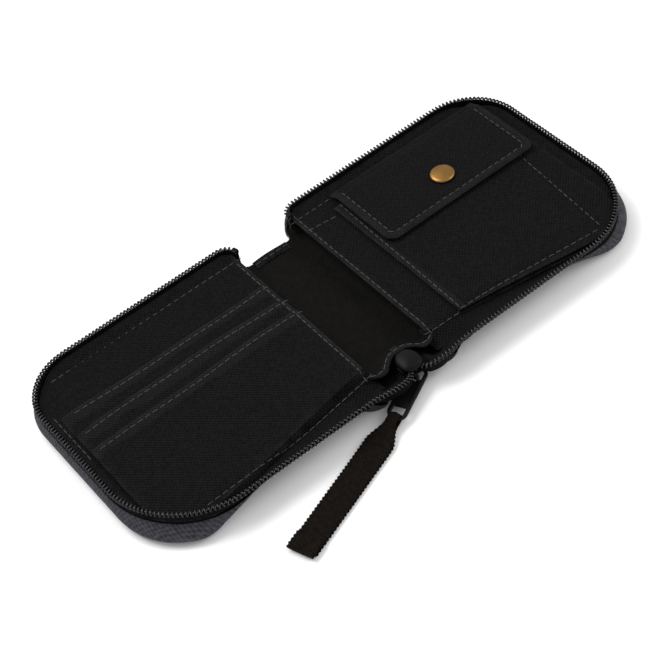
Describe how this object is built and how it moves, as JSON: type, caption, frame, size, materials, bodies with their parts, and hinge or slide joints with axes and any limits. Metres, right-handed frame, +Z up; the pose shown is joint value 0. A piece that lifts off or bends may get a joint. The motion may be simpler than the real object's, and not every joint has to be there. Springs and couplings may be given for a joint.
{
  "type": "bifold wallet",
  "caption": "Zip-around bifold wallet lying open, with stacked card pockets, a snap coin pocket, a coil zip and a webbing pull.",
  "frame": {"origin": "centre of the spine's flat underside, on the surface the wallet lies on", "axes": "+X along the opened length towards the coin leaf, +Y along the spine away from the slider, +Z up out of the inside of the wallet"},
  "size_m": [0.208, 0.123, 0.0126],
  "materials": {
    "cover_fabric": "coated woven cloth, charcoal",
    "foam": "soft sheet padding",
    "board": "thin stiffener sheet",
    "lining_fabric": "fine plain weave lining",
    "zip_tape": "knitted zip tape",
    "zip_coil": "nylon coil",
    "zip_stop": "moulded on the tape",
    "black_metal": "matt black paint on die-cast zinc",
    "webbing": "ribbed grosgrain webbing",
    "brass": "antique brass",
    "binding_fabric": "plain weave binding",
    "canvas": "tight plain weave canvas"
  },
  "bodies": {
    "spine": {"spine_cover": "cover_fabric", "spine_lining": "lining_fabric", "spine_binding_near": "binding_fabric", "spine_binding_far": "binding_fabric", "zip_chain_end": "zip_coil", "zip_bottom_stop": "zip_stop"},
    "card_leaf": {"card_leaf_board": "board", "card_leaf_cover": "cover_fabric", "card_leaf_lining": "lining_fabric", "card_leaf_padding": "foam", "card_leaf_zip_coil": "zip_coil", "card_leaf_zip_tape": "zip_tape", "card_leaf_zip_top_stop": "zip_stop", "card_panel": "canvas", "card_pocket_1": "canvas", "card_pocket_2": "canvas", "card_pocket_3": "canvas"},
    "coin_leaf": {"coin_leaf_board": "board", "coin_leaf_cover": "cover_fabric", "coin_leaf_lining": "lining_fabric", "coin_leaf_padding": "foam", "coin_leaf_zip_coil": "zip_coil", "coin_leaf_zip_tape": "zip_tape", "coin_leaf_zip_top_stop": "zip_stop", "slip_panel": "canvas", "coin_pocket_bag": "lining_fabric", "coin_pocket_front": "canvas", "snap_post": "brass", "snap_stud": "brass"},
    "coin_flap": {"coin_flap": "canvas", "coin_flap_lining": "canvas", "snap_socket": "brass", "snap_cap": "brass"},
    "slider": {"slider_body": "black_metal", "slider_bail": "black_metal"},
    "pull_tab": {"pull_tab": "black_metal"},
    "pull_strap": {"pull_strap": "webbing"}
  },
  "joints": [
    {"name": "card_leaf_fold", "type": "hinge", "parent": "spine", "child": "card_leaf", "pos_m": [-0.01, 0, 0.0012], "axis": [0, 1, 0], "range_deg": [0, 90]},
    {"name": "coin_leaf_fold", "type": "hinge", "parent": "spine", "child": "coin_leaf", "pos_m": [0.01, 0, 0.0012], "axis": [0, -1, 0], "range_deg": [0, 90]},
    {"name": "coin_flap_open", "type": "hinge", "parent": "coin_leaf", "child": "coin_flap", "pos_m": [0.06, 0.038, 0.0104], "axis": [1, 0, 0], "range_deg": [-135, 0]},
    {"name": "slider_travel", "type": "slide", "parent": "spine", "child": "slider", "axis": [0, -1, 0], "range_m": [0, 0.004]},
    {"name": "pull_turn", "type": "hinge", "parent": "slider", "child": "pull_tab", "pos_m": [0, -0.0434, 0.0042], "axis": [0, 0, 1], "range_deg": [0, 120]},
    {"name": "strap_swing", "type": "hinge", "parent": "pull_tab", "child": "pull_strap", "pos_m": [-0.01586, -0.05113, 0.00281], "axis": [-0.342, 0.9397, 0], "range_deg": [0, 80]}
  ]
}
